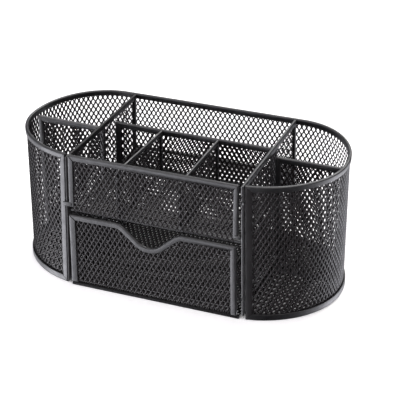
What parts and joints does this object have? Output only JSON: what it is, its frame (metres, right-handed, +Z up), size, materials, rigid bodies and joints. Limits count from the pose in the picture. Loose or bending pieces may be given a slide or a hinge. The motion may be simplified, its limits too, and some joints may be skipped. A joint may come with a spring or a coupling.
{
  "type": "mesh pen stand with drawer",
  "caption": "Black steel-mesh desk organiser with a stadium plan, open compartments above and a full-depth drawer with a wavy finger-dip front.",
  "frame": {"origin": "centre of the footprint, on the table", "axes": "+Z up, +Y towards the plain back, the drawer opens towards -Y, X along the length"},
  "size_m": [0.2226, 0.109, 0.0952],
  "materials": {
    "mesh": "satin black powder coat on expanded-metal mesh",
    "strip": "satin black powder coat on folded steel strip"
  },
  "bodies": {
    "root": {"base_front_rail": "strip", "base_mesh": "mesh", "bottom_rim": "strip", "front_panel_frame": "strip", "front_panel_mesh": "mesh", "left_divider_frame": "strip", "left_divider_mesh": "mesh", "left_end_divider_frame": "strip", "left_end_divider_mesh": "mesh", "left_end_trim": "strip", "left_wall_frame": "strip", "left_wall_mesh": "mesh", "middle_wall_frame": "strip", "middle_wall_mesh": "mesh", "right_divider_frame": "strip", "right_divider_mesh": "mesh", "right_end_divider_frame": "strip", "right_end_divider_mesh": "mesh", "right_end_trim": "strip", "right_wall_frame": "strip", "right_wall_mesh": "mesh", "shelf_frame": "strip", "shelf_mesh": "mesh", "shell_mesh": "mesh", "top_rim": "strip"},
    "drawer": {"drawer_back_mesh": "mesh", "drawer_floor_mesh": "mesh", "drawer_front_frame": "strip", "drawer_front_mesh": "mesh", "drawer_left_side_mesh": "mesh", "drawer_right_side_mesh": "mesh", "drawer_tray_rim": "strip"}
  },
  "joints": [
    {"name": "drawer_slide", "type": "slide", "parent": "root", "child": "drawer", "axis": [0, -1, 0], "range_m": [0, 0.08]}
  ]
}
